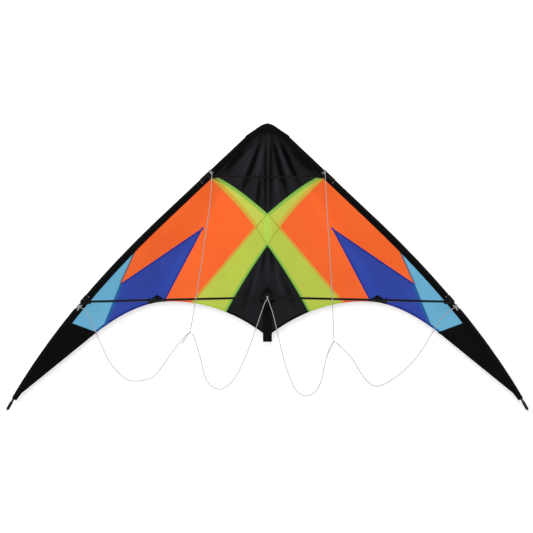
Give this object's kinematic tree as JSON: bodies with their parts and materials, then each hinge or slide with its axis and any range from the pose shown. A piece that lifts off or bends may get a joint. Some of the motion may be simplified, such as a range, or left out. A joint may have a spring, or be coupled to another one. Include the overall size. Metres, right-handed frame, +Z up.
{
  "type": "delta kite",
  "caption": "Two-line delta kite with curved leading edges, a scooped trailing edge, coloured sail panels, front spreaders and a hanging bridle.",
  "frame": {"origin": "point of the nose, on the centre line of the sail", "axes": "+X towards the right wing tip as the flyer sees it, +Z up towards the nose, -Y towards the flyer and the bridle"},
  "size_m": [1.1972, 0.0907, 0.6595],
  "materials": {
    "black_cloth": "satin",
    "orange_cloth": "satin",
    "lime_cloth": "satin",
    "blue_cloth": "satin",
    "sky_cloth": "satin",
    "webbing": "matte",
    "rod": "gloss",
    "moulded": "satin",
    "line": "matte"
  },
  "bodies": {
    "centre": {"nose_panel_centre": "black_cloth", "cross_centre": "lime_cloth", "keel_panel_centre": "black_cloth", "centre_patch": "webbing", "nose_cap_centre": "webbing", "spine_rod": "rod", "spine_end_cap": "moulded", "tail_strap": "webbing", "centre_fitting": "moulded"},
    "right_wing": {"nose_panel_right": "black_cloth", "upper_arm_right": "lime_cloth", "lower_arm_right": "lime_cloth", "keel_panel_right": "black_cloth", "orange_panel_right": "orange_cloth", "blue_panel_right": "blue_cloth", "sky_panel_right": "sky_cloth", "tip_panel_right": "black_cloth", "standoff_patch_right": "webbing", "edge_sleeve_right": "webbing", "nose_cap_side_right": "webbing", "edge_rod_right": "rod", "tip_nock_right": "moulded", "tip_bungee_right": "webbing", "lower_fitting_right": "moulded", "upper_fitting_right": "moulded", "standoff_foot_right": "moulded", "bridle_upper_right": "line", "bridle_outer_right": "line", "bridle_inner_right": "line", "tow_point_right": "line"},
    "right_spreader": {"lower_spreader_right": "rod", "standoff_connector_right": "moulded", "stop_ring_right": "moulded"},
    "right_standoff": {"standoff_rod_right": "rod"},
    "left_wing": {"nose_panel_left": "black_cloth", "upper_arm_left": "lime_cloth", "lower_arm_left": "lime_cloth", "keel_panel_left": "black_cloth", "orange_panel_left": "orange_cloth", "blue_panel_left": "blue_cloth", "sky_panel_left": "sky_cloth", "tip_panel_left": "black_cloth", "standoff_patch_left": "webbing", "edge_sleeve_left": "webbing", "nose_cap_side_left": "webbing", "edge_rod_left": "rod", "tip_nock_left": "moulded", "tip_bungee_left": "webbing", "lower_fitting_left": "moulded", "upper_fitting_left": "moulded", "standoff_foot_left": "moulded", "bridle_upper_left": "line", "bridle_outer_left": "line", "bridle_inner_left": "line", "tow_point_left": "line"},
    "left_spreader": {"lower_spreader_left": "rod", "standoff_connector_left": "moulded", "stop_ring_left": "moulded"},
    "left_standoff": {"standoff_rod_left": "rod"},
    "upper_spreader": {"upper_spreader": "rod"}
  },
  "joints": [
    {"name": "right_wing_fold", "type": "hinge", "parent": "centre", "child": "right_wing", "pos_m": [0.011, 0.009, 0], "axis": [0, 0, 1], "range_deg": [0, 70], "deforming": ["bridle_inner_right"]},
    {"name": "left_wing_fold", "type": "hinge", "parent": "centre", "child": "left_wing", "pos_m": [-0.011, 0.009, 0], "axis": [0, 0, -1], "range_deg": [0, 70], "deforming": ["bridle_inner_left"]},
    {"name": "right_spreader_swing", "type": "hinge", "parent": "right_wing", "child": "right_spreader", "pos_m": [0.4146, -0.011, -0.409], "axis": [0, 1, 0], "range_deg": [0, 33]},
    {"name": "left_spreader_swing", "type": "hinge", "parent": "left_wing", "child": "left_spreader", "pos_m": [-0.4146, -0.011, -0.409], "axis": [0, -1, 0], "range_deg": [0, 33]},
    {"name": "upper_spreader_swing", "type": "hinge", "parent": "left_wing", "child": "upper_spreader", "pos_m": [-0.1251, -0.006, -0.123], "axis": [0, 1, 0], "range_deg": [0, 80]},
    {"name": "right_standoff_fold", "type": "hinge", "parent": "right_wing", "child": "right_standoff", "pos_m": [0.2545, 0.055, -0.4051], "axis": [1, 0, 0], "range_deg": [0, 80]},
    {"name": "left_standoff_fold", "type": "hinge", "parent": "left_wing", "child": "left_standoff", "pos_m": [-0.2545, 0.055, -0.4051], "axis": [1, 0, 0], "range_deg": [0, 80]}
  ]
}
